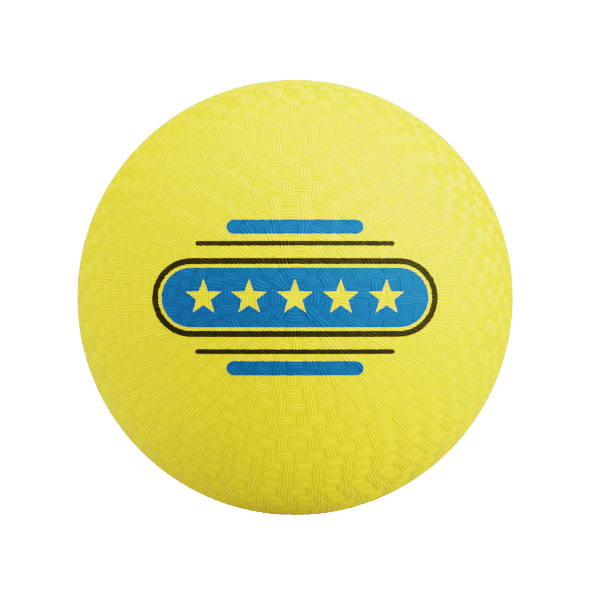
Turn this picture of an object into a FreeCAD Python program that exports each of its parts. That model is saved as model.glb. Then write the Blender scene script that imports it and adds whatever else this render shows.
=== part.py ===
import FreeCAD, Part
import math
import os

import Sketcher

# An 8.5 inch inflatable rubber playground ball.
#
# Frame: millimetres, +Z up, origin at the centre of the ball. The print is on the front, -Y, and the
# inflating valve is at the opposite pole, +Y. The moulded cover is two halves that meet in the plane Y = 0.
#
# From the outside in: a two-colour print, the outer rubber ply (the cover), the inner rubber ply, a layer of
# nylon winding, and the air-tight bladder with its valve. Every layer is a thin shell about the origin.

# Driving dimensions: alias, number in mm (or a count), meaning.
DRIVING = (
    ("ball_diameter", 215.9, "over the crests of the cover, 8.5 in"),
    ("cover_thickness", 1.1, "outer ply"),
    ("inner_ply_thickness", 0.6, "second ply"),
    ("winding_thickness", 0.3, "nylon thread layer"),
    ("bladder_thickness", 0.6, "butyl bladder"),
    ("neck_radius", 4.0, "valve neck, and the openings it passes through"),
    ("mouth_recess", 0.5, "valve mouth below the cover's surface"),
    ("patch_radius", 14.0, "reinforcing patch round the valve neck"),
    ("flange_radius", 13.0, "valve flange bonded inside the bladder"),
    ("flange_thickness", 1.0, "valve flange"),
    ("stem_radius", 5.0, "valve stem inside the ball"),
    ("stem_length", 13.0, "valve stem below the bladder's inner face"),
    ("plug_radius", 2.3, "plug's neck, and the stem's bore"),
    ("bulge_radius", 3.1, "plug's retaining bulge, and its pocket"),
    ("bulge_depth", 5.5, "from the valve mouth to the bulge"),
    ("bulge_length", 5.0, "along the valve's axis"),
    ("lead_radius", 1.8, "wide end of the pilot hole's conical lead-in"),
    ("lead_depth", 1.0, "conical lead-in"),
    ("needle_radius", 1.05, "pilot hole for a 2 mm inflating needle"),
    ("needle_depth", 6.0, "straight wall of the pilot hole"),
    ("ink_thickness", 0.08, "both inks"),
    ("panel_width", 138.0, "central panel, over its black outline"),
    ("panel_height", 38.0, "central panel, over its black outline"),
    ("outline_width", 3.0, "black outline of the panel"),
    ("outline_gap", 1.6, "bare rubber between the outline and the blue field"),
    ("star_radius", 9.0, "out to a star's points"),
    ("star_waist", 3.6, "out to a star's inner corners"),
    ("star_pitch", 22.0, "between neighbouring stars"),
    ("line_offset", 26.0, "black bars above and below the centre"),
    ("line_width", 96.0, "black bars"),
    ("line_height", 2.4, "black bars"),
    ("bar_offset", 34.0, "blue bars above and below the centre"),
    ("bar_width", 66.0, "blue bars"),
    ("bar_height", 7.0, "blue bars"),
)

# Dimensions that follow from them: alias, formula, meaning.
DERIVED = (
    ("cover_out", "=ball_diameter / 2", "radius of the cover's outer face"),
    ("ply_out", "=cover_out - cover_thickness", "radius between cover and inner ply"),
    ("winding_out", "=ply_out - inner_ply_thickness", "radius between inner ply and winding"),
    ("bladder_out", "=winding_out - winding_thickness", "radius between winding and bladder"),
    ("bladder_in", "=bladder_out - bladder_thickness", "radius of the air chamber"),
    ("flange_in", "=bladder_in - flange_thickness", "radius of the valve flange's inner face"),
    ("mouth_y", "=cover_out - mouth_recess", "height of the valve mouth on the valve's axis"),
    ("bulge_top_y", "=mouth_y - bulge_depth", "outer end of the retaining bulge"),
    ("bulge_foot_y", "=bulge_top_y - bulge_length", "inner end of the retaining bulge"),
    ("stem_end_y", "=bladder_in - stem_length", "inner end of stem and plug"),
    ("lead_foot_y", "=mouth_y - lead_depth", "where the lead-in meets the pilot hole"),
    ("needle_foot_y", "=lead_foot_y - needle_depth", "blind end of the pilot hole"),
    ("ink_out", "=cover_out + ink_thickness", "radius of the print's outer face"),
    ("window_width", "=panel_width - 2 * outline_width", "inside the black outline"),
    ("window_height", "=panel_height - 2 * outline_width", "inside the black outline"),
    ("field_width", "=window_width - 2 * outline_gap", "blue field"),
    ("field_height", "=window_height - 2 * outline_gap", "blue field"),
)

STAR_COUNT = 5
STAR_POINTS = 5

# A sketch's own names for the ends and centre of an edge, for its origin and for its axes.
START, END, CENTRE = 1, 2, 3
ORIGIN = (-1, 1)
X_AXIS, Y_AXIS = -1, -2
NORMAL = FreeCAD.Vector(0, 0, 1)

doc = FreeCAD.newDocument("playground_ball")


def make_sheet():
    sheet = doc.addObject("Spreadsheet::Sheet", "sizes")
    rows = [(alias, str(number), meaning) for alias, number, meaning in DRIVING] + list(DERIVED)
    for row, (alias, content, meaning) in enumerate(rows, 1):
        sheet.set(f"A{row}", content)
        sheet.setAlias(f"A{row}", alias)
        sheet.set(f"B{row}", meaning)
    doc.recompute()
    return sheet


sheet = make_sheet()


def size(alias):
    return float(getattr(sheet, alias))


# ---- sketches ----

def attach_sketch(body, plane_role):
    """A sketch on one of the body's own origin planes."""
    plane = next(p for p in body.Origin.OriginFeatures if p.Role == plane_role)
    sketch = body.newObject("Sketcher::SketchObject", body.Name + "_sketch")
    sketch.AttachmentSupport = [(plane, "")]
    sketch.MapMode = "FlatFace"
    return sketch


def bind(sketch, kind, where, alias):
    """A dimension that takes its value from the sheet."""
    bind_formula(sketch, kind, where, size(alias), f"sizes.{alias}")


def bind_formula(sketch, kind, where, number, formula):
    """A dimension that takes its value from a formula of the sheet's cells, which comes to number."""
    index = sketch.addConstraint(Sketcher.Constraint(kind, *where, number))
    sketch.setExpression(f"Constraints[{index}]", formula)


def constrain(sketch, kind, *where):
    sketch.addConstraint(Sketcher.Constraint(kind, *where))


def add_line(sketch, a, b):
    return sketch.addGeometry(Part.LineSegment(FreeCAD.Vector(*a, 0), FreeCAD.Vector(*b, 0)), False)


def add_arc(sketch, centre, radius, low_angle, high_angle):
    circle = Part.Circle(FreeCAD.Vector(*centre, 0), NORMAL, radius)
    return sketch.addGeometry(Part.ArcOfCircle(circle, low_angle, high_angle), False)


def add_sphere_arc(sketch, radius, low_angle, high_angle):
    """Part of a sphere's section: an arc about the ball's centre."""
    arc = add_arc(sketch, (0, 0), size(radius), low_angle, high_angle)
    constrain(sketch, "Coincident", arc, CENTRE, *ORIGIN)
    bind(sketch, "Radius", (arc,), radius)
    return arc


def revolve(body, sketch):
    """Turns a section about the valve's axis."""
    revolution = body.newObject("PartDesign::Revolution", body.Name + "_revolution")
    revolution.Profile = sketch
    revolution.ReferenceAxis = (sketch, ["V_Axis"])
    revolution.Angle = 360.0


# ---- turned pieces ----

def make_shell(label, outer, inner, low, high):
    """A spherical shell between two radii. low and high say where its section starts and ends: at the pole
    (Y_AXIS), at the equator (X_AXIS), or at the edge of an opening, named by the radius it has."""
    body = doc.addObject("PartDesign::Body", label)
    sketch = attach_sketch(body, "XY_Plane")
    arcs = []
    for radius in (outer, inner):
        arc = add_sphere_arc(sketch, radius, shell_angle(low, radius), shell_angle(high, radius))
        for end, where in ((START, low), (END, high)):
            if where in (X_AXIS, Y_AXIS):
                constrain(sketch, "PointOnObject", arc, end, where)
            else:
                bind(sketch, "DistanceX", (*ORIGIN, arc, end), where)
        arcs.append(arc)
    for end in (START, END):
        corners = [sketch.getPoint(arc, end) for arc in arcs]
        edge = add_line(sketch, *[(corner.x, corner.y) for corner in corners])
        constrain(sketch, "Coincident", edge, START, arcs[0], end)
        constrain(sketch, "Coincident", edge, END, arcs[1], end)
    revolve(body, sketch)
    return body


def shell_angle(where, radius):
    if where == X_AXIS:
        return 0.0
    if where == Y_AXIS:
        return -math.pi / 2
    return math.acos(size(where) / size(radius))


def make_turned(label, corners):
    """A piece turned from a closed section. A corner is (radius, height): radius None is on the axis, and a
    height that is ("sphere", radius) puts the corner on that sphere. Two such corners in a row on one sphere
    are joined by its arc, and any others by a straight line."""
    body = doc.addObject("PartDesign::Body", label)
    sketch = attach_sketch(body, "XY_Plane")
    pairs = list(zip(corners, corners[1:] + corners[:1]))
    edges = [add_edge(sketch, corner, after) for corner, after in pairs]
    for edge, after in zip(edges, edges[1:] + edges[:1]):
        constrain(sketch, "Coincident", edge[0], edge[2], after[0], after[1])
    for (radius, height), (edge, first, _) in zip(corners, edges):
        if radius is None:
            constrain(sketch, "PointOnObject", edge, first, Y_AXIS)
        else:
            bind(sketch, "DistanceX", (*ORIGIN, edge, first), radius)
        if isinstance(height, str):
            bind(sketch, "DistanceY", (*ORIGIN, edge, first), height)
    revolve(body, sketch)
    return body


def add_edge(sketch, corner, after):
    """The edge between two corners, as (edge, its end at the first, its end at the second)."""
    ends = [corner_point(*corner), corner_point(*after)]
    if isinstance(corner[1], str) or corner[1] != after[1]:
        return add_line(sketch, *ends), START, END
    angles = [math.atan2(y, x) for x, y in ends]
    arc = add_sphere_arc(sketch, corner[1][1], min(angles), max(angles))
    return (arc, START, END) if angles[0] < angles[1] else (arc, END, START)


def corner_point(radius, height):
    across = 0.0 if radius is None else size(radius)
    if isinstance(height, str):
        return across, size(height)
    return across, math.sqrt(size(height[1]) ** 2 - across ** 2)


# The wall of the ball, from the outside in.
cover_front = make_shell("cover_front", "cover_out", "ply_out", Y_AXIS, X_AXIS)
cover_back = make_shell("cover_back", "cover_out", "ply_out", X_AXIS, "neck_radius")
inner_ply_front = make_shell("inner_ply_front", "ply_out", "winding_out", Y_AXIS, X_AXIS)
inner_ply_back = make_shell("inner_ply_back", "ply_out", "winding_out", X_AXIS, "neck_radius")
nylon_winding = make_shell("nylon_winding", "winding_out", "bladder_out", Y_AXIS, "patch_radius")
bladder = make_shell("bladder", "bladder_out", "bladder_in", Y_AXIS, "neck_radius")

# A ring of rubberised fabric on the bladder round the valve neck. The winding stops at its edge.
valve_patch = make_turned("valve_patch", (
    ("neck_radius", ("sphere", "bladder_out")),
    ("patch_radius", ("sphere", "bladder_out")),
    ("patch_radius", ("sphere", "winding_out")),
    ("neck_radius", ("sphere", "winding_out")),
))

# A neck that passes out through the wall, a flange bonded inside the bladder, and a stem with a bore.
valve_housing = make_turned("valve_housing", (
    ("plug_radius", "mouth_y"),
    ("neck_radius", "mouth_y"),
    ("neck_radius", ("sphere", "bladder_in")),
    ("flange_radius", ("sphere", "bladder_in")),
    ("flange_radius", ("sphere", "flange_in")),
    ("stem_radius", ("sphere", "flange_in")),
    ("stem_radius", "stem_end_y"),
    ("plug_radius", "stem_end_y"),
    ("plug_radius", "bulge_foot_y"),
    ("bulge_radius", "bulge_foot_y"),
    ("bulge_radius", "bulge_top_y"),
    ("plug_radius", "bulge_top_y"),
))

# The self-sealing plug fills that bore. Its pilot hole is blind: the slit below it is closed, with no gap.
valve_plug = make_turned("valve_plug", (
    (None, "stem_end_y"),
    ("plug_radius", "stem_end_y"),
    ("plug_radius", "bulge_foot_y"),
    ("bulge_radius", "bulge_foot_y"),
    ("bulge_radius", "bulge_top_y"),
    ("plug_radius", "bulge_top_y"),
    ("plug_radius", "mouth_y"),
    ("lead_radius", "mouth_y"),
    ("needle_radius", "lead_foot_y"),
    ("needle_radius", "needle_foot_y"),
    (None, "needle_foot_y"),
))


# ---- the print ----
# Each ink is a set of flat stencils on the plane Y = 0, carried forwards through the front of the ball, and
# kept only where they meet the thin shell just outside the cover.

def make_stencil(name, draw, x="0", z="0"):
    """A drawing on the plane Y = 0, about a point there, carried forwards. x and z are formulas of the
    sheet's cells."""
    upright = FreeCAD.Rotation(FreeCAD.Vector(1, 0, 0), 90)
    sketch = doc.addObject("Sketcher::SketchObject", name + "_sketch")
    sketch.Placement = FreeCAD.Placement(FreeCAD.Vector(0, 0, 0), upright)
    sketch.setExpression("Placement.Base.x", x)
    sketch.setExpression("Placement.Base.z", z)
    draw(sketch)
    stencil = doc.addObject("Part::Extrusion", name)
    stencil.Base = sketch
    stencil.DirMode = "Normal"
    stencil.Solid = True
    stencil.setExpression("LengthFwd", "sizes.ball_diameter")
    return stencil


def draw_round_bar(sketch, width, height):
    """A bar with round ends."""
    radius = size(height) / 2
    reach = size(width) / 2 - radius
    right = add_arc(sketch, (reach, 0), radius, -math.pi / 2, math.pi / 2)
    top = add_line(sketch, (reach, radius), (-reach, radius))
    left = add_arc(sketch, (-reach, 0), radius, math.pi / 2, 3 * math.pi / 2)
    foot = add_line(sketch, (-reach, -radius), (reach, -radius))
    order = (right, top, left, foot)
    for edge, after in zip(order, order[1:] + order[:1]):
        constrain(sketch, "Tangent", edge, END, after, START)
    constrain(sketch, "Equal", left, right)
    constrain(sketch, "Symmetric", left, CENTRE, right, CENTRE, *ORIGIN)
    constrain(sketch, "Horizontal", top)
    bind_formula(sketch, "Radius", (right,), radius, f"sizes.{height} / 2")
    centres = (left, CENTRE, right, CENTRE)
    bind_formula(sketch, "DistanceX", centres, 2 * reach, f"sizes.{width} - sizes.{height}")


def draw_star(sketch):
    """A star with equal edges, its corners by turns on an outer and an inner circle."""
    rings = []
    for radius in ("star_radius", "star_waist"):
        ring = sketch.addGeometry(Part.Circle(FreeCAD.Vector(0, 0, 0), NORMAL, size(radius)), True)
        constrain(sketch, "Coincident", ring, CENTRE, *ORIGIN)
        bind(sketch, "Radius", (ring,), radius)
        rings.append(ring)
    corners = []
    for i in range(2 * STAR_POINTS):
        radius = size("star_waist" if i % 2 else "star_radius")
        angle = math.pi / 2 + i * math.pi / STAR_POINTS
        corners.append((radius * math.cos(angle), radius * math.sin(angle)))
    edges = [add_line(sketch, *pair) for pair in zip(corners, corners[1:] + corners[:1])]
    for i, (edge, after) in enumerate(zip(edges, edges[1:] + edges[:1])):
        constrain(sketch, "Coincident", edge, END, after, START)
        constrain(sketch, "PointOnObject", edge, START, rings[i % 2])
        if i:
            constrain(sketch, "Equal", edges[0], edge)
    constrain(sketch, "PointOnObject", edges[0], START, Y_AXIS)


def join_solids(name, members):
    fused = doc.addObject("Part::MultiFuse", name)
    fused.Shapes = members
    return fused


def boolean(kind, label, base, tool):
    """kind is Cut or Common."""
    result = doc.addObject("Part::" + kind, label)
    result.Base = base
    result.Tool = tool
    return result


def make_ball(name, radius):
    ball = doc.addObject("Part::Sphere", name)
    ball.setExpression("Radius", f"sizes.{radius}")
    return ball


def draw_outline(sketch):
    draw_round_bar(sketch, "panel_width", "panel_height")
    draw_round_bar(sketch, "window_width", "window_height")


def draw_field(sketch):
    draw_round_bar(sketch, "field_width", "field_height")


def draw_black_bar(sketch):
    draw_round_bar(sketch, "line_width", "line_height")


def draw_blue_bar(sketch):
    draw_round_bar(sketch, "bar_width", "bar_height")


black_stencils = [make_stencil("outline", draw_outline)]
blue_stencils = []
for side, sign in (("upper", ""), ("lower", "-")):
    black_stencils.append(make_stencil(f"{side}_line", draw_black_bar, z=f"{sign}sizes.line_offset"))
    blue_stencils.append(make_stencil(f"{side}_bar", draw_blue_bar, z=f"{sign}sizes.bar_offset"))

stars = []
for number in range(STAR_COUNT):
    pitches = number - (STAR_COUNT - 1) / 2
    stars.append(make_stencil(f"star_{number + 1}", draw_star, x=f"{pitches} * sizes.star_pitch"))
field = boolean("Cut", "starred_field", make_stencil("field", draw_field), join_solids("stars", stars))
blue_stencils.append(field)

for colour, stencils in (("black", black_stencils), ("blue", blue_stencils)):
    film = boolean("Cut", f"{colour}_film", make_ball(f"{colour}_film_out", "ink_out"),
                   make_ball(f"{colour}_film_in", "cover_out"))
    boolean("Common", f"print_{colour}", film, join_solids(f"{colour}_stencils", stencils))


# ---- check and write ----

NODES = (
    "cover_front",
    "cover_back",
    "inner_ply_front",
    "inner_ply_back",
    "nylon_winding",
    "bladder",
    "valve_patch",
    "valve_housing",
    "valve_plug",
    "print_black",
    "print_blue",
)


def check_document():
    """Stops if any object failed to recompute."""
    failed = [o.Name for o in doc.Objects if {"Invalid", "Error"} & set(o.State)]
    if failed:
        raise RuntimeError(f"objects that failed: {failed}")


def write_nodes():
    os.makedirs("parts", exist_ok=True)
    for label in NODES:
        node = doc.getObjectsByLabel(label)[0]
        shape = node.Shape
        if shape.isNull() or not shape.isValid() or shape.Volume <= 0:
            raise RuntimeError(f"{label} has no valid shape")
        shape.exportStep(f"parts/{label}.step")
        print(f"{label}: {len(shape.Solids)} solids, {shape.Volume:.1f} cubic mm")


doc.recompute()
check_document()
write_nodes()
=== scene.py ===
import math

import bmesh
import bpy
import numpy as np
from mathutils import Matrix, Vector
from mathutils.geometry import delaunay_2d_cdt


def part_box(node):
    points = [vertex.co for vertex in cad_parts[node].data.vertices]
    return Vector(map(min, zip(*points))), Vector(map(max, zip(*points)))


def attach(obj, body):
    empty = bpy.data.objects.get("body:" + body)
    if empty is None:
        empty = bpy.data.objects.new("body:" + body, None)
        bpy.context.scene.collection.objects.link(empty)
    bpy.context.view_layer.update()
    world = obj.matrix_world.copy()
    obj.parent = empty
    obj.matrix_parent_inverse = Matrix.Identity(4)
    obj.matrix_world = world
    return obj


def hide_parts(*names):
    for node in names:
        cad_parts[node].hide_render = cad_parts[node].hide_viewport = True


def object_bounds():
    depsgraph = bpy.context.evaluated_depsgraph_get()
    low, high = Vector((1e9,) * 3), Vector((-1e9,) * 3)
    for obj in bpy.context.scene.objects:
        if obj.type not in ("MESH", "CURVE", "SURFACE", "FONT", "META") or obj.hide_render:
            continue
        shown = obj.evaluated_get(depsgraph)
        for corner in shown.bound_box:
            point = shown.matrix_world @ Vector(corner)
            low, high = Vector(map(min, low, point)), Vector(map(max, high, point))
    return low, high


# A yellow rubber playground ball. Units are metres, or degrees where a name says so, in the frame of the
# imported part: +Z up, the print on -Y, the valve on +Y, the origin at the ball's centre.

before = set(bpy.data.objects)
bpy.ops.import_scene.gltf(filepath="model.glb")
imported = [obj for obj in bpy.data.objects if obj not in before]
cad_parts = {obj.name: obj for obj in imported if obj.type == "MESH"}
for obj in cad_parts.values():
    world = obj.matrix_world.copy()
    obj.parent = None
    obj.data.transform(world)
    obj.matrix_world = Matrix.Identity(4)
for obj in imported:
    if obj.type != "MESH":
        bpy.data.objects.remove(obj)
cad_low, cad_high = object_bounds()

MM = 0.001

# ---- sizes from the frame ----

BALL_RADIUS = (cad_high.x - cad_low.x) / 2
COVER_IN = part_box("inner_ply_front")[1].x
MOUTH_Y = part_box("valve_housing")[1].y
STEM_END_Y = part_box("valve_housing")[0].y
FLANGE_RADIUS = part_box("valve_housing")[1].x
BULGE_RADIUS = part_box("valve_plug")[1].x

# ---- the cover's embossing: rings of tiles about each pole, each tile a set of straight bars ----

RING_PITCH = math.radians(4.07)
CAP_ANGLE = math.radians(3.07)
FRONT_RINGS = 21
TILE_LENGTH = 7.5 * MM
GROOVES_PER_TILE = 4
GROOVE_PITCH = 0.228        # of the tile's width
GROOVE_WIDTH = 0.95 * MM
GROOVE_DEPTH = 0.50 * MM
TILE_GAP = 0.18 * MM        # half of the joint between two tiles
TILE_EDGE = 0.40 * MM       # slope from a tile's face down to that joint
JOINT_DEPTH = 0.12 * MM
CROWN = 0.34 * MM           # how much lower a tile's edges are than its middle
ROUND_WITHIN = math.radians(9)
STRAIGHT_FROM = math.radians(15.2)
BEND_STEP = math.radians(8)
FEWEST_TILES = 6
LAYOUT_SEED = 8
RELIEF_LIMIT = 0.9 * MM       # lower than any groove, and above the inside of the cover

# ---- the smooth pad round the valve, and the moulding line where the halves of the cover meet ----

NECK_RADIUS = 4.0 * MM
PAD_RADIUS = 11.5 * MM
BEAD_HEIGHT = 0.20 * MM
BEAD_SIDES = 360
PAD_SIDES = 64
INSIDE_SIDES = 96
INSIDE_RINGS = 15
INSIDE_LAST = 6             # degrees from the pole, where the last of those rings is

# ---- the valve ----

STEM_RADIUS = 5.0 * MM
PLUG_RADIUS = 2.3 * MM
LEAD_RADIUS = 1.8 * MM
LEAD_DEPTH = 1.0 * MM
NEEDLE_RADIUS = 1.05 * MM
NEEDLE_DEPTH = 6.0 * MM
BULGE_DEPTH = 5.5 * MM
BULGE_LENGTH = 5.0 * MM
FLANGE_THICKNESS = 1.0 * MM
BLADDER_IN = 105.35 * MM
PLUG_RECESS = 0.1 * MM
NEEDLE_TIP = 0.4 * MM
VALVE_SIDES = 72
FILLET_POINTS = 6

# ---- the print, as drawn flat on a plane in front of the ball ----

INK_ABOVE = 0.055 * MM
INK_BELOW = 0.02 * MM
RUN_STEP = 2 * MM           # an outline's straight runs are cut this short, since they lie on a ball
ARC_STEP = 3 * MM
FEWEST_ARC_POINTS = 10
PANEL = (138 * MM, 38 * MM)
OUTLINE_WIDTH = 3.0 * MM
OUTLINE_GAP = 1.6 * MM
STAR_COUNT = 5
STAR_POINTS = 5
STAR_RADIUS = 9 * MM
STAR_WAIST = 3.6 * MM
STAR_PITCH = 22 * MM
LINE = (96 * MM, 2.4 * MM)
LINE_OFFSET = 26 * MM
BAR = (66 * MM, 7 * MM)
BAR_OFFSET = 34 * MM

CUT_INSIDE_ONLY = 1         # delaunay_2d_cdt's code for keeping only what lies inside a face
CUT_TOLERANCE = 1e-9

RNG = np.random.default_rng(LAYOUT_SEED)


class Shell:
    """A closed surface made of loops about the Y axis. A point is (angle from the pole, turn, radius)."""

    def __init__(self, pole):
        self.pole = pole
        self.points = []
        self.faces = []
        self.creases = []
        self.embossed = 0

    def add(self, theta, phi, radius):
        self.points.append((theta, phi, radius))
        return len(self.points) - 1

    def circle(self, theta, radius, count):
        turns = [2 * math.pi * i / count for i in range(count)]
        return [(phi, self.add(theta, phi, radius)) for phi in turns]

    def band(self, inner, outer):
        """Triangles between two closed loops of (turn, point), which may differ in count."""
        a, b = from_zero(inner), from_zero(outer)
        i = j = 0
        while i < len(a) or j < len(b):
            here_a, here_b = a[i % len(a)][1], b[j % len(b)][1]
            if j >= len(b) or (i < len(a) and side_middle(a, i) <= side_middle(b, j)):
                self.faces.append((here_a, here_b, a[(i + 1) % len(a)][1]))
                i += 1
            else:
                self.faces.append((here_a, here_b, b[(j + 1) % len(b)][1]))
                j += 1

    def strip(self, left, right):
        """Triangles between two open rows of (share of the way, point), left then right of a joint."""
        i = j = 0
        while i < len(left) - 1 or j < len(right) - 1:
            left_next = i < len(left) - 1 and side_middle(left, i) <= side_middle(right, j)
            if j >= len(right) - 1 or left_next:
                self.faces.append((left[i][1], left[i + 1][1], right[j][1]))
                i += 1
            else:
                self.faces.append((left[i][1], right[j + 1][1], right[j][1]))
                j += 1

    def close(self, loop, theta, radius, outward):
        """A fan that closes a pole. outward is True where the loop is the first one."""
        centre = self.add(theta, 0.0, radius)
        for k, (_, here) in enumerate(loop):
            after = loop[(k + 1) % len(loop)][1]
            self.faces.append((centre, here, after) if outward else (centre, after, here))

    def coordinates(self):
        theta, phi, radius = np.array(self.points).T
        return np.stack((radius * np.sin(theta) * np.cos(phi),
                         self.pole * radius * np.cos(theta),
                         radius * np.sin(theta) * np.sin(phi)), axis=1)

    def triangles(self):
        """Corners in the order that faces out of the rubber."""
        faces = np.array(self.faces)
        return faces if self.pole < 0 else faces[:, ::-1]


def from_zero(loop):
    """The same loop, started at the smallest turn that isn't negative."""
    wrapped = [(phi % (2 * math.pi), point) for phi, point in loop]
    first = min(range(len(wrapped)), key=lambda k: wrapped[k][0])
    return wrapped[first:] + wrapped[:first]


def side_middle(loop, k):
    """The turn, or the share, in the middle of the side from point k to the next. It counts on past a full
    turn."""
    ahead = loop[(k + 1) % len(loop)][0] + 2 * math.pi * ((k + 1) // len(loop))
    return (loop[k % len(loop)][0] + ahead) / 2


def bar_section(width):
    """Places across a tile's bars, from 0 to width, and the depth at each."""
    places = [0.0, TILE_EDGE]
    depths = [JOINT_DEPTH, 0.0]
    for k in range(GROOVES_PER_TILE):
        middle = width * (0.5 + (k - (GROOVES_PER_TILE - 1) / 2) * GROOVE_PITCH)
        places += [middle - GROOVE_WIDTH / 2, middle, middle + GROOVE_WIDTH / 2]
        depths += [0.0, GROOVE_DEPTH, 0.0]
    places += [width - TILE_EDGE, width]
    depths += [0.0, JOINT_DEPTH]
    places, depths = np.array(places), np.array(depths)
    depths += CROWN * (2 * places / width - 1) ** 2
    return places / width, depths


def bar_length(length, bend):
    """Places along a tile's bars, and 1 at each end of them, where they slope down to the joint.

    bend is the angle in radians that the bars turn through. Straight bars have none."""
    runs = max(1, math.ceil(bend / BEND_STEP))
    middle = np.linspace(TILE_EDGE, length - TILE_EDGE, runs + 1)
    places = np.concatenate(([0.0], middle, [length])) / length
    ends = np.zeros(len(places))
    ends[[0, -1]] = 1.0
    return places, ends


def straightened(theta, offset, half):
    """The angle from the pole of a point on a line across a tile, where the line is straight on the ball.

    offset is the point's turn from the tile's middle, and half is its edge's. Lines are round near the pole
    and straight further out."""
    chord = math.atan(math.tan(theta) * math.cos(half) / math.cos(offset))
    share = (theta - ROUND_WITHIN) / (STRAIGHT_FROM - ROUND_WITHIN)
    return theta + min(1.0, max(0.0, share)) * (chord - theta)


def add_tile(shell, low, high, middle, span, around):
    """One tile between two angles from the pole, centred on a turn. around: its bars run round the pole."""
    ring = BALL_RADIUS * math.sin((low + high) / 2)
    width = span * ring - 2 * TILE_GAP
    height = BALL_RADIUS * (high - low) - 2 * TILE_GAP
    bend = span if around and low < STRAIGHT_FROM else 0.0
    across, depth = bar_section(height if around else width)
    lengthwise, ends = bar_length(width if around else height, bend)
    down = np.maximum(depth[None, :], JOINT_DEPTH * ends[:, None])
    turns, tilts = (lengthwise, across) if around else (across, lengthwise)
    down = down if around else down.T
    gap_turn, gap_tilt = TILE_GAP / ring, TILE_GAP / BALL_RADIUS
    half = span / 2 - gap_turn
    grid = np.empty(down.shape, int)
    for i, share in enumerate(turns):
        offset = (2 * share - 1) * half
        for j, rise in enumerate(tilts):
            theta = low + gap_tilt + rise * (high - low - 2 * gap_tilt)
            theta = straightened(theta, offset, half)
            grid[i, j] = shell.add(theta, middle + offset, BALL_RADIUS - down[i, j])
    for i in range(len(turns) - 1):
        for j in range(len(tilts) - 1):
            a, b, c, d = grid[i, j], grid[i, j + 1], grid[i + 1, j + 1], grid[i + 1, j]
            shell.faces += [(a, b, c), (a, c, d)]
    bars = grid if around else grid.T
    for k in range(GROOVES_PER_TILE):
        bottom = bars[:, 3 + 3 * k]
        shell.creases += zip(bottom, bottom[1:])
    phis = [middle + (2 * share - 1) * half for share in turns]
    return {
        "inner": list(zip(phis, grid[:, 0])),
        "outer": list(zip(phis, grid[:, -1])),
        "left": list(zip(tilts, grid[0])),
        "right": list(zip(tilts, grid[-1])),
    }


def add_ring(shell, low, high, anchor, around):
    """A ring of tiles, one of them centred on anchor. Returns its two edge loops and its tiles' places.

    Neighbours' bars cross. Where the count is odd, one pair of neighbours has the same bars."""
    count = max(FEWEST_TILES, round(math.tau * BALL_RADIUS * math.sin((low + high) / 2) / TILE_LENGTH))
    span = 2 * math.pi / count
    before = int(RNG.integers(count))
    tiles, places = [], []
    for k in range(count):
        step = k - before
        middle = anchor + step * span
        runs_round = around if step % 2 == 0 else not around
        tiles.append(add_tile(shell, low, high, middle, span, runs_round))
        places.append((middle, runs_round))
    for tile, after in zip(tiles, tiles[1:] + tiles[:1]):
        shell.strip(tile["right"], after["left"])
    inner = [point for tile in tiles for point in tile["inner"]]
    outer = [point for tile in tiles for point in tile["outer"]]
    return inner, outer, places


def emboss(shell, start, loop, rings, pitch):
    """Rings of tiles from an angle outwards, joined to the loop inside them. Returns the last loop."""
    anchor, around = math.radians(-90), True
    for k in range(rings):
        low = start + k * pitch
        inner, outer, places = add_ring(shell, low, low + pitch, anchor, around)
        if loop is None:
            shell.close(from_zero(inner), 0.0, BALL_RADIUS - JOINT_DEPTH / 2, True)
        else:
            shell.band(loop, inner)
        loop = outer
        anchor, around = places[int(RNG.integers(len(places)))]
        around = not around
    return loop


def add_turned(shell, loop, steps):
    """Carries a surface on through circles of (angle from the pole, radius, count)."""
    for theta, radius, count in steps:
        circle = shell.circle(theta, radius, count)
        if loop is not None:
            shell.band(loop, circle)
        loop = circle
    return loop


def moulding_line():
    """The smooth border and the bead at the edge of a half, then the edge's inner side.

    Each step is its distance from the edge in mm, and its rise as a share of the bead's."""
    quarter = math.pi / 2
    steps = []
    for distance, rise in ((1.9, -0.06), (1.0, 0.0), (0.45, 0.0), (0.25, 0.6), (0.0, 1.0)):
        steps.append((quarter - distance * MM / BALL_RADIUS, BALL_RADIUS + rise * BEAD_HEIGHT, BEAD_SIDES))
    steps.append((quarter, COVER_IN, INSIDE_SIDES))
    return steps


def inner_face():
    angles = np.linspace(90, INSIDE_LAST, INSIDE_RINGS + 1)[1:]
    return [(math.radians(angle), COVER_IN, INSIDE_SIDES) for angle in angles]


def build_front():
    shell = Shell(pole=-1)
    loop = emboss(shell, CAP_ANGLE, None, FRONT_RINGS, RING_PITCH)
    shell.embossed = len(shell.points)
    loop = add_turned(shell, loop, moulding_line() + inner_face())
    shell.close(loop, 0.0, COVER_IN, False)
    return shell


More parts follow.
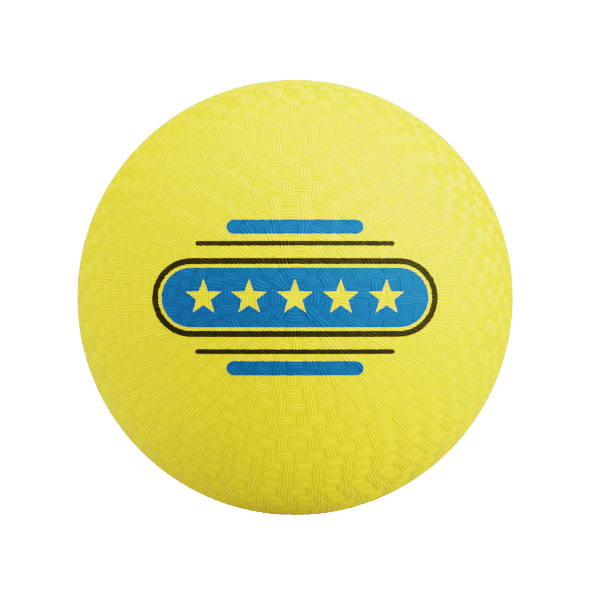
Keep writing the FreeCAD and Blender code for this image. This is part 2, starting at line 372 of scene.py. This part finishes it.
def build_back():
    """The half with the valve: an opening with a rounded lip, a low ring on a smooth pad, then the tiles.

    Each step of the pad is its distance out from the opening and its rise, in mm."""
    shell = Shell(pole=1)
    mouth = shell.circle(NECK_RADIUS / COVER_IN, COVER_IN, PAD_SIDES)
    lip = ((0.0, -0.5), (0.08, -0.2), (0.3, -0.03), (0.6, 0.0))
    ring = ((2.6, 0.0), (2.9, 0.12), (3.25, 0.25), (3.6, 0.12), (3.9, 0.0))
    edge = ((6.7, 0.0), (7.0, -0.05), (7.3, -0.22), (7.5, -0.26))
    steps = []
    for distance, rise in lip + ring + edge:
        angle = (NECK_RADIUS + distance * MM) / BALL_RADIUS
        steps.append((angle, BALL_RADIUS + rise * MM, PAD_SIDES))
    loop = add_turned(shell, mouth, steps)
    start = PAD_RADIUS / BALL_RADIUS
    end = CAP_ANGLE + FRONT_RINGS * RING_PITCH
    rings = round((end - start) / RING_PITCH)
    loop = emboss(shell, start, loop, rings, (end - start) / rings)
    loop = add_turned(shell, loop, moulding_line() + inner_face())
    shell.band(loop, mouth)
    return shell


# ---- the print ----

def arc(centre_x, centre_z, radius, start, end, count):
    """Points on an arc between two angles in degrees, both ends kept."""
    angles = np.radians(np.linspace(start, end, count))
    return [(centre_x + radius * math.cos(a), centre_z + radius * math.sin(a)) for a in angles]


def along(points):
    """The same closed outline with its long straight runs cut into short ones."""
    out = []
    for here, after in zip(points, points[1:] + points[:1]):
        parts = max(1, round(math.dist(here, after) / RUN_STEP))
        for k in range(parts):
            share = k / parts
            out.append((here[0] + share * (after[0] - here[0]), here[1] + share * (after[1] - here[1])))
    return out


def round_bar(width, height, z=0.0):
    """A bar with round ends, anticlockwise as seen with x to the right and z up."""
    reach = (width - height) / 2
    count = max(FEWEST_ARC_POINTS, round(math.pi * height / ARC_STEP))
    return along(arc(reach, z, height / 2, -90, 90, count) + arc(-reach, z, height / 2, 90, 270, count))


def star(x):
    points = []
    for k in range(2 * STAR_POINTS):
        angle = math.radians(90 + 180 * k / STAR_POINTS)
        radius = STAR_RADIUS if k % 2 == 0 else STAR_WAIST
        points.append((x + radius * math.cos(angle), radius * math.sin(angle)))
    return along(points)


def black_outlines():
    """(outlines that add ink, outlines that take it away)"""
    width, height = PANEL
    added = [round_bar(width, height)]
    added += [round_bar(*LINE, z=side * LINE_OFFSET) for side in (1, -1)]
    return added, [round_bar(width - 2 * OUTLINE_WIDTH, height - 2 * OUTLINE_WIDTH)]


def blue_outlines():
    inset = 2 * (OUTLINE_WIDTH + OUTLINE_GAP)
    added = [round_bar(PANEL[0] - inset, PANEL[1] - inset)]
    added += [round_bar(*BAR, z=side * BAR_OFFSET) for side in (1, -1)]
    return added, [star((k - (STAR_COUNT - 1) / 2) * STAR_PITCH) for k in range(STAR_COUNT)]


def unrolled(x, z):
    """A point of the flat drawing, moved out to its distance from the pole as measured along the ball."""
    away = math.hypot(x, z)
    angle = math.asin(away / BALL_RADIUS) * BALL_RADIUS
    scale = angle / away if away > 1e-9 else 1.0
    return Vector((x * scale, z * scale))


def faces_under(shell, flat, edges):
    """The embossed triangles near the drawing, without any that the flat map folds over or flattens."""
    reach = np.abs(np.array([point for edge in edges for point in edge])).max(axis=0) + TILE_LENGTH
    near = (np.abs(flat) < reach).all(axis=1)
    faces = np.array([face for face in shell.faces if max(face) < shell.embossed])
    faces = faces[near[faces].all(axis=1)]
    first, second, third = (flat[faces[:, k]] for k in range(3))
    return faces[np.cross(second - first, third - first) > 0]


def cut_surface(shell, outlines):
    """The cover's triangles, cut along the outlines. Returns each point's place and the inked triangles."""
    added, taken = outlines
    theta, phi, _ = np.array(shell.points[:shell.embossed]).T
    flat = np.stack((theta * np.cos(phi), theta * np.sin(phi)), axis=1) * BALL_RADIUS
    edges = [[unrolled(x, z) for x, z in outline] for outline in added + taken]
    faces = faces_under(shell, flat, edges)
    used, packed = np.unique(faces, return_inverse=True)
    spots = [Vector(point) for point in flat[used]]
    corners = [list(map(int, face)) for face in packed.reshape(faces.shape)]
    for edge in edges:
        corners.append(list(range(len(spots), len(spots) + len(edge))))
        spots += edge
    points, _, triangles, _, _, sources = delaunay_2d_cdt(spots, [], corners, CUT_INSIDE_ONLY, CUT_TOLERANCE)
    space = shell.coordinates()
    placed, kept = {}, []
    for triangle, source in zip(triangles, sources):
        over = [k for k in source if k < len(faces)]
        inside = [k - len(faces) for k in source if k >= len(faces)]
        if not over or not inside or max(inside) >= len(added):
            continue
        kept.append(tuple(triangle))
        under = faces[over[0]]
        for corner in triangle:
            if corner not in placed:
                weights = barycentric(points[corner], flat[under])
                placed[corner] = weights @ space[under]
    return placed, kept


def barycentric(point, corners):
    (ax, ay), (bx, by), (cx, cy) = corners
    area = (bx - ax) * (cy - ay) - (cx - ax) * (by - ay)
    u = ((point[0] - ax) * (cy - ay) - (cx - ax) * (point[1] - ay)) / area
    v = ((bx - ax) * (point[1] - ay) - (point[0] - ax) * (by - ay)) / area
    return np.array([1 - u - v, u, v])


def build_ink(shell, outlines):
    """A film that follows the cover's own surface inside the outlines, with square-cut edges."""
    placed, kept = cut_surface(shell, outlines)
    number = {corner: k for k, corner in enumerate(placed)}
    ground = np.array(list(placed.values()))
    distance = np.linalg.norm(ground, axis=1, keepdims=True)
    top = ground * (1 + INK_ABOVE / distance)
    bottom = ground * (1 - INK_BELOW / distance)
    count = len(ground)
    film = [tuple(number[corner] for corner in triangle) for triangle in kept]
    sides = {(face[k], face[(k + 1) % 3]) for face in film for k in range(3)}
    rim = sorted(edge for edge in sides if edge[::-1] not in sides)
    faces = film + [tuple(corner + count for corner in face[::-1]) for face in film]
    faces += [(b, a, a + count, b + count) for a, b in rim]
    creases = {edge for a, b in rim for edge in ((a, b), (a + count, b + count))}
    return np.concatenate((top, bottom)), faces, creases


# ---- the valve: pieces turned about the Y axis ----

def turned(profile):
    """A closed surface from a profile of (radius, y). A radius of 0 is one point on the axis."""
    points, faces, rows = [], [], []
    for radius, y in profile:
        turns = [2 * math.pi * k / VALVE_SIDES for k in range(VALVE_SIDES)] if radius > 0 else [0.0]
        rows.append([len(points) + k for k in range(len(turns))])
        points += [(radius * math.cos(a), y, radius * math.sin(a)) for a in turns]
    for here, after in zip(rows, rows[1:] + rows[:1]):
        for k in range(VALVE_SIDES):
            a, b = here[k % len(here)], here[(k + 1) % len(here)]
            c, d = after[(k + 1) % len(after)], after[k % len(after)]
            corners = list(dict.fromkeys((a, b, c, d)))
            if len(corners) > 2:
                faces.append(tuple(corners))
    return points, faces


def fillet(centre_radius, centre_y, radius, start, end):
    """Points of the arc that rounds a corner, about a centre, between two angles in degrees."""
    return arc(centre_radius, centre_y, radius, start, end, FILLET_POINTS)


def on_sphere(radius, away):
    """A profile point on a sphere about the origin, at a distance from the axis."""
    return (away, math.sqrt(radius ** 2 - away ** 2))


def build_neck():
    """Neck, flange and stem, with the bore that holds the plug."""
    lip = 0.35 * MM
    flange_in = BLADDER_IN - FLANGE_THICKNESS
    foot = MOUTH_Y - BULGE_DEPTH - BULGE_LENGTH
    profile = [(PLUG_RADIUS, STEM_END_Y), (PLUG_RADIUS, foot), (BULGE_RADIUS, foot)]
    profile += [(BULGE_RADIUS, foot + BULGE_LENGTH), (PLUG_RADIUS, foot + BULGE_LENGTH)]
    profile += fillet(PLUG_RADIUS + lip / 2, MOUTH_Y - lip / 2, lip / 2, 180, 90)
    profile += fillet(NECK_RADIUS - lip, MOUTH_Y - lip, lip, 90, 0)
    profile += [on_sphere(BLADDER_IN, NECK_RADIUS), on_sphere(BLADDER_IN, FLANGE_RADIUS)]
    profile += [on_sphere(flange_in, FLANGE_RADIUS), on_sphere(flange_in, STEM_RADIUS)]
    profile += fillet(STEM_RADIUS - lip, STEM_END_Y + lip, lip, 0, -90)
    return turned(profile)


def build_plug():
    """The plug, with a conical lead-in and the needle's blind pilot hole."""
    foot = MOUTH_Y - BULGE_DEPTH - BULGE_LENGTH
    top = MOUTH_Y - PLUG_RECESS
    lip = 0.15 * MM
    profile = [(0.0, STEM_END_Y), (PLUG_RADIUS, STEM_END_Y), (PLUG_RADIUS, foot), (BULGE_RADIUS, foot)]
    profile += [(BULGE_RADIUS, foot + BULGE_LENGTH), (PLUG_RADIUS, foot + BULGE_LENGTH)]
    profile += fillet(PLUG_RADIUS - lip, top - lip, lip, 0, 90)
    profile += fillet(LEAD_RADIUS + lip, top - lip, lip, 90, 150)
    profile += [(NEEDLE_RADIUS, MOUTH_Y - LEAD_DEPTH), (NEEDLE_RADIUS, MOUTH_Y - NEEDLE_DEPTH)]
    profile += [(0.0, MOUTH_Y - NEEDLE_DEPTH - NEEDLE_TIP)]
    return turned(profile[::-1])


# ---- materials ----

def new_material(name, colour, roughness, specular=0.5):
    material = bpy.data.materials.new(name)
    material.use_nodes = True
    shader = material.node_tree.nodes["Principled BSDF"]
    shader.inputs["Base Color"].default_value = (*colour, 1)
    shader.inputs["Roughness"].default_value = roughness
    shader.inputs["Specular IOR Level"].default_value = specular
    return material, material.node_tree, shader


def object_place(tree):
    return tree.nodes.new("ShaderNodeTexCoord").outputs["Object"]


def noise(tree, scale, detail=2.0, roughness=0.5):
    """A noise value that is fixed to the object. scale is in features per metre."""
    node = tree.nodes.new("ShaderNodeTexNoise")
    node.inputs["Scale"].default_value = scale
    node.inputs["Detail"].default_value = detail
    node.inputs["Roughness"].default_value = roughness
    tree.links.new(object_place(tree), node.inputs["Vector"])
    return node.outputs["Fac"]


def ramp(tree, source, stops):
    node = tree.nodes.new("ShaderNodeValToRGB")
    tree.links.new(source, node.inputs["Fac"])
    elements = node.color_ramp.elements
    while len(elements) < len(stops):
        elements.new(0.5)
    for element, (place, colour) in zip(elements, stops):
        element.position = place
        element.color = (*colour, 1)
    return node.outputs["Color"]


def remap(tree, source, low, high, to_low, to_high):
    node = tree.nodes.new("ShaderNodeMapRange")
    node.inputs["From Min"].default_value = low
    node.inputs["From Max"].default_value = high
    node.inputs["To Min"].default_value = to_low
    node.inputs["To Max"].default_value = to_high
    tree.links.new(source, node.inputs["Value"])
    return node.outputs["Result"]


def multiply(tree, colour, value):
    node = tree.nodes.new("ShaderNodeMix")
    node.data_type = "RGBA"
    node.blend_type = "MULTIPLY"
    node.inputs["Factor"].default_value = 1.0
    tree.links.new(colour, node.inputs["A"])
    tree.links.new(value, node.inputs["B"])
    return node.outputs["Result"]


def add_grain(tree, shader, height, distance, strength):
    bump = tree.nodes.new("ShaderNodeBump")
    bump.inputs["Distance"].default_value = distance
    bump.inputs["Strength"].default_value = strength
    tree.links.new(height, bump.inputs["Height"])
    tree.links.new(bump.outputs["Normal"], shader.inputs["Normal"])


def relief(tree):
    """How far down in the embossing a point is: 0 at the full radius, 1 at a groove's depth or more. It is
    the mask for the shade painted into the grooves.
    """
    node = tree.nodes.new("ShaderNodeAttribute")
    node.attribute_name = "depth"
    return remap(tree, node.outputs["Fac"], 0.0, GROOVE_DEPTH, 0.0, 1.0)


YELLOW = (0.770, 0.605, 0.036)
# A darker yellow painted into the grooves as shade.
YELLOW_GROOVE_SHADE = (0.660, 0.500, 0.022)


def yellow_rubber():
    material, tree, shader = new_material("yellow_rubber", YELLOW, 0.6, 0.42)
    # Painted shade: the yellow darkens towards the bottom of each groove.
    colour = ramp(tree, relief(tree), ((0.0, YELLOW), (0.45, YELLOW), (1.0, YELLOW_GROOVE_SHADE)))
    mottle = remap(tree, noise(tree, 45, 3), 0.3, 0.7, 0.985, 1.0)
    tree.links.new(multiply(tree, colour, mottle), shader.inputs["Base Color"])
    add_grain(tree, shader, noise(tree, 2200, 3), 0.02 * MM, 0.25)
    return material


def ink(name, colour, groove_shade):
    material, tree, shader = new_material(name, colour, 0.7, 0.14)
    # Painted shade: the ink darkens slightly towards the bottom of each groove.
    tone = ramp(tree, relief(tree), ((0.0, colour), (0.35, colour), (1.0, groove_shade)))
    tree.links.new(tone, shader.inputs["Base Color"])
    add_grain(tree, shader, noise(tree, 2600, 3), 0.015 * MM, 0.3)
    return material


def plain_rubber(name, colour, roughness):
    material, tree, shader = new_material(name, colour, roughness)
    pale = tuple(min(1.0, 1.35 * c + 0.004) for c in colour)
    tone = ramp(tree, noise(tree, 350, 5), ((0.35, colour), (0.65, pale)))
    tree.links.new(tone, shader.inputs["Base Color"])
    add_grain(tree, shader, noise(tree, 1800, 4), 0.02 * MM, 0.35)
    return material


def threads():
    """Crossed lays of fine wound thread."""
    material, tree, shader = new_material("nylon_thread", (0.8, 0.79, 0.74), 0.6)
    lays = []
    for tilt in (0.0, 1.05, 2.1):
        turn = tree.nodes.new("ShaderNodeMapping")
        turn.inputs["Rotation"].default_value = (tilt, 0.6 * tilt, 0.3)
        tree.links.new(object_place(tree), turn.inputs["Vector"])
        wave = tree.nodes.new("ShaderNodeTexWave")
        wave.inputs["Scale"].default_value = 420
        wave.inputs["Distortion"].default_value = 0.6
        tree.links.new(turn.outputs["Vector"], wave.inputs["Vector"])
        lays.append(wave.outputs["Color"])
    woven = multiply(tree, multiply(tree, lays[0], lays[1]), lays[2])
    tone = ramp(tree, woven, ((0.0, (0.55, 0.53, 0.47)), (0.35, (0.84, 0.83, 0.78))))
    tree.links.new(tone, shader.inputs["Base Color"])
    add_grain(tree, shader, woven, 0.1 * MM, 0.6)
    return material


def cloth():
    """Rubberised cloth: a plain weave, mostly filled."""
    material, tree, shader = new_material("patch_fabric", (0.35, 0.31, 0.24), 0.75)
    checks = tree.nodes.new("ShaderNodeTexChecker")
    checks.inputs["Scale"].default_value = 1600
    checks.inputs["Color1"].default_value = (0.38, 0.34, 0.26, 1)
    checks.inputs["Color2"].default_value = (0.28, 0.25, 0.19, 1)
    tree.links.new(object_place(tree), checks.inputs["Vector"])
    tree.links.new(checks.outputs["Color"], shader.inputs["Base Color"])
    add_grain(tree, shader, noise(tree, 2500, 3), 0.03 * MM, 0.5)
    return material


# ---- pieces ----

def make_piece(name, points, faces, material, slot, node, creases=(), depths=None):
    mesh = bpy.data.meshes.new(name)
    mesh.from_pydata([tuple(point) for point in points], [], [tuple(map(int, face)) for face in faces])
    mesh.polygons.foreach_set("use_smooth", [True] * len(mesh.polygons))
    if creases:
        sharp = mesh.attributes.new("sharp_edge", "BOOLEAN", "EDGE")
        wanted = {(min(edge), max(edge)) for edge in creases}
        sharp.data.foreach_set("value", [(min(e.vertices), max(e.vertices)) in wanted for e in mesh.edges])
    if depths is not None:
        mesh.attributes.new("depth", "FLOAT", "POINT").data.foreach_set("value", depths)
    mesh.validate()
    piece = bpy.data.objects.new(name, mesh)
    bpy.context.scene.collection.objects.link(piece)
    mesh.materials.append(material)
    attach(piece, "root")
    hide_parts(node)
    return piece


def depth_below(points, radius):
    """How far each point lies below a sphere, and 0 for any above it or on the inside of the cover."""
    down = radius - np.linalg.norm(np.array(points), axis=1)
    return np.where(down < RELIEF_LIMIT, np.clip(down, 0, None), 0.0).astype(np.float32)


def make_cover(name, shell, node, material):
    points = shell.coordinates()
    depths = depth_below(points, BALL_RADIUS)
    faces = shell.triangles()
    return make_piece(name, points, faces, material, "yellow_rubber", node, shell.creases, depths)


def make_ink(name, shell, outlines, node, slot, material):
    points, faces, creases = build_ink(shell, outlines)
    depths = depth_below(points, BALL_RADIUS + INK_ABOVE)
    return make_piece(name, points, faces, material, slot, node, creases, depths)


def finish_node(name, material):
    """A CAD node that is shown as it is."""
    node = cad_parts[name]
    node.data.materials.clear()
    node.data.materials.append(material)


def make_ball():
    rubber = yellow_rubber()
    front, back = build_front(), build_back()
    make_cover("front_cover", front, "cover_front", rubber)
    make_cover("back_cover", back, "cover_back", rubber)
    black = ink("black_ink", (0.035, 0.031, 0.003), (0.032, 0.028, 0.003))
    blue = ink("blue_ink", (0.012, 0.112, 0.245), (0.010, 0.100, 0.222))
    make_ink("black_print", front, black_outlines(), "print_black", "black_ink", black)
    make_ink("blue_print", front, blue_outlines(), "print_blue", "blue_ink", blue)
    dark = plain_rubber("valve_rubber", (0.020, 0.020, 0.021), 0.42)
    seal = plain_rubber("plug_rubber", (0.045, 0.045, 0.047), 0.55)
    make_piece("valve_neck", *build_neck(), dark, "valve_rubber", "valve_housing")
    make_piece("valve_seal", *build_plug(), seal, "plug_rubber", "valve_plug")
    ply = plain_rubber("ply_rubber", (0.60, 0.50, 0.20), 0.7)
    finish_node("inner_ply_front", ply)
    finish_node("inner_ply_back", ply)
    finish_node("nylon_winding", threads())
    finish_node("bladder", plain_rubber("butyl_rubber", (0.018, 0.018, 0.020), 0.7))
    finish_node("valve_patch", cloth())


# ---- floor, light and camera ----

WHITE = 20.0                # bright enough to be shown as plain white
FLOOR_GLOW = 0.38           # what the floor adds to the light on the underside
FLOOR_GREY = 0.35
FLOOR_RADIUS = 14
FLOOR_SIDES = 96
LIGHT_DISTANCE = 2.4
SOFTBOXES = (               # name, direction, size, and what it adds to a white surface that faces it
    ("top", (0, 0, 1), 1.5, 0.82),
    ("front", (0, -0.94, 0.36), 1.5, 0.33),
    ("front_right", (0.66, -0.72, 0.22), 1.0, 0.52),
    ("upper_right", (0.75, -0.35, 0.60), 1.5, 0.50),
    ("left", (-0.98, 0.12, 0.20), 0.7, 0.28),
    ("upper_left", (-0.65, -0.35, 0.68), 1.0, 0.50),
    ("right", (0.96, -0.28, 0.17), 0.8, 0.38),
    ("back", (0, 1, 0.12), 1.2, 0.45),
)

SHEENS = (                  # the same, for lights that are only seen as a gloss on what they shine on
    ("upper_right_sheen", (0.75, -0.35, 0.60), 1.5, 1.30),
    ("top_sheen", (0, -0.2, 1), 1.5, 0.25),
)

CAMERA_DISTANCE = 3.0
BALL_SHARE = 0.727                  # of the picture's width
SENSOR = 36.0
VIEW_END = 100
OFF_CENTRE = (-0.0083, 0.0042)      # of the picture's width: the ball stands a little left and high


def make_floor():
    """A pale sweep. It is brighter to the eye than as a light, so that it doesn't glare on the ball."""
    mesh = bpy.data.meshes.new("floor")
    shape = bmesh.new()
    bmesh.ops.create_circle(shape, cap_ends=True, segments=FLOOR_SIDES, radius=FLOOR_RADIUS)
    shape.to_mesh(mesh)
    shape.free()
    floor = bpy.data.objects.new("floor", mesh)
    floor.location.z = -BALL_RADIUS
    bpy.context.scene.collection.objects.link(floor)
    material, tree, shader = new_material("floor", (FLOOR_GREY,) * 3, 1.0, 0.0)
    shader.inputs["Emission Color"].default_value = (1, 1, 1, 1)
    seen = tree.nodes.new("ShaderNodeLightPath").outputs["Is Camera Ray"]
    tree.links.new(remap(tree, seen, 0.0, 1.0, FLOOR_GLOW, WHITE), shader.inputs["Emission Strength"])
    mesh.materials.append(material)


def add_softbox(name, direction, distance, size, brightness):
    """A square light that faces the ball. brightness is what it adds to a white surface that faces it."""
    data = bpy.data.lights.new(name, "AREA")
    data.shape = "SQUARE"
    data.size = size
    data.energy = brightness * (math.pi * distance) ** 2
    lamp = bpy.data.objects.new(name, data)
    away = Vector(direction).normalized()
    lamp.location = away * distance
    lamp.rotation_mode = "QUATERNION"
    lamp.rotation_quaternion = away.to_track_quat("Z", "Y")
    lamp.visible_camera = False
    bpy.context.scene.collection.objects.link(lamp)
    return lamp


def make_world():
    """Unlit, since the softboxes and the floor give all the light, but plain white to the eye."""
    world = bpy.data.worlds.new("studio")
    world.use_nodes = True
    tree = world.node_tree
    background = tree.nodes["Background"]
    background.inputs["Color"].default_value = (1, 1, 1, 1)
    seen = tree.nodes.new("ShaderNodeLightPath").outputs["Is Camera Ray"]
    tree.links.new(remap(tree, seen, 0.0, 1.0, 0.0, WHITE), background.inputs["Strength"])
    bpy.context.scene.world = world


def make_light():
    make_world()
    for name, direction, size, brightness in SOFTBOXES:
        add_softbox(name, direction, LIGHT_DISTANCE, size, brightness)
    for name, direction, size, brightness in SHEENS:
        add_softbox(name, direction, LIGHT_DISTANCE, size, brightness).visible_diffuse = False
    bpy.context.scene.view_settings.view_transform = "Filmic"
    bpy.context.scene.view_settings.look = "Very High Contrast"


def make_camera():
    data = bpy.data.cameras.new("camera")
    edge = BALL_RADIUS / math.sqrt(CAMERA_DISTANCE ** 2 - BALL_RADIUS ** 2)
    data.sensor_width = SENSOR
    data.lens = SENSOR * BALL_SHARE / (2 * edge)
    data.shift_x = -OFF_CENTRE[0]
    data.shift_y = -OFF_CENTRE[1]
    data.clip_end = VIEW_END
    camera = bpy.data.objects.new("camera", data)
    camera.location = (0, -CAMERA_DISTANCE, 0)
    camera.rotation_euler = (math.pi / 2, 0, 0)
    bpy.context.scene.collection.objects.link(camera)
    bpy.context.scene.camera = camera


make_ball()
make_floor()
make_light()
make_camera()
